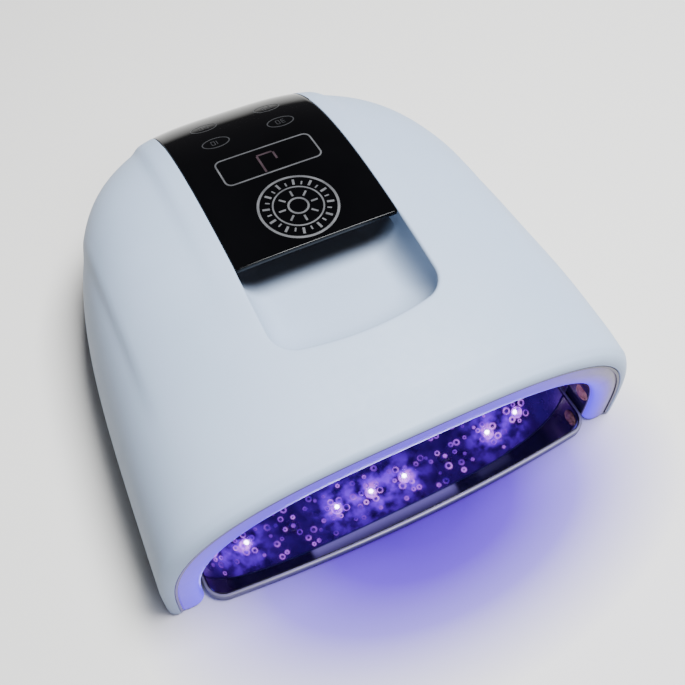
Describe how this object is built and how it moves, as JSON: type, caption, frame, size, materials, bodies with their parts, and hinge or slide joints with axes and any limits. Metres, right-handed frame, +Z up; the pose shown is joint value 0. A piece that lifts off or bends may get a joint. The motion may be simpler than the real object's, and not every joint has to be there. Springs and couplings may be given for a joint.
{
  "type": "uv led nail lamp",
  "caption": "Cordless desktop nail curing lamp: domed soft-touch housing with a wide hand opening, LED-lit reflector, slide-out mirror tray, grip recess and glossy touch panel.",
  "frame": {"origin": "middle of the footprint on the table, under the middle of the overall box", "axes": "+Z up, -Y out of the hand opening towards the user, +X to the right as seen by a viewer who looks along +Y into the opening"},
  "size_m": [0.2296, 0.246, 0.0916],
  "materials": {
    "soft_white": "soft-touch matte paint",
    "ring_white": "satin moulded plastic",
    "base_grey": "moulded matte",
    "black_gloss": "high gloss acrylic",
    "black_plastic": "moulded satin",
    "switch_black": "moulded semi-gloss",
    "reflector_silver": "vacuum-metallised",
    "mirror_steel": "mirror polished",
    "led_lens": "clear moulded lens",
    "board_white": "solder mask",
    "board_green": "solder mask",
    "cell_wrap": "shrink wrap",
    "nickel_steel": "nickel plated",
    "rubber_grey": "moulded rubber",
    "amber_lens": "tinted clear",
    "display_grey": "smoked window"
  },
  "bodies": {
    "lamp": {"upper_housing": "soft_white", "front_ring": "ring_white", "base_frame": "base_grey", "touch_panel": "black_gloss", "reflector_dome": "reflector_silver", "led_board_crown": "board_white", "led_board_left": "board_white", "led_board_right": "board_white", "hand_sensor_left": "amber_lens", "hand_sensor_right": "amber_lens", "frame_magnet_left": "nickel_steel", "frame_magnet_right": "nickel_steel", "display_module": "display_grey", "touch_board": "board_green", "main_board": "board_green", "dc_jack": "black_plastic", "switch_body": "black_plastic", "rubber_foot_1": "rubber_grey", "casing_screw_1": "nickel_steel", "battery_cell_1": "cell_wrap", "rubber_foot_2": "rubber_grey", "casing_screw_2": "nickel_steel", "battery_cell_2": "cell_wrap", "rubber_foot_3": "rubber_grey", "casing_screw_3": "nickel_steel", "battery_cell_3": "cell_wrap", "rubber_foot_4": "rubber_grey", "casing_screw_4": "nickel_steel", "battery_cell_4": "cell_wrap", "led_01": "led_lens", "led_02": "led_lens", "led_03": "led_lens", "led_04": "led_lens", "led_05": "led_lens", "led_06": "led_lens", "led_07": "led_lens", "led_08": "led_lens", "led_09": "led_lens", "led_10": "led_lens", "led_11": "led_lens", "led_12": "led_lens", "led_13": "led_lens", "led_14": "led_lens", "led_15": "led_lens", "led_16": "led_lens", "led_17": "led_lens", "led_18": "led_lens", "led_19": "led_lens", "led_20": "led_lens", "led_21": "led_lens", "led_22": "led_lens", "led_23": "led_lens", "led_24": "led_lens", "led_25": "led_lens"},
    "tray": {"tray_base": "black_plastic", "tray_mirror": "mirror_steel", "tray_magnet_left": "nickel_steel", "tray_magnet_right": "nickel_steel"},
    "rocker": {"switch_rocker": "switch_black"}
  },
  "joints": [
    {"name": "tray_slide", "type": "slide", "parent": "lamp", "child": "tray", "axis": [0, -1, 0], "range_m": [0, 0.2]},
    {"name": "power_rocker", "type": "hinge", "parent": "lamp", "child": "rocker", "pos_m": [0.016, 0.1184, 0.02], "axis": [0, 0, 1], "range_deg": [0, 16]}
  ]
}
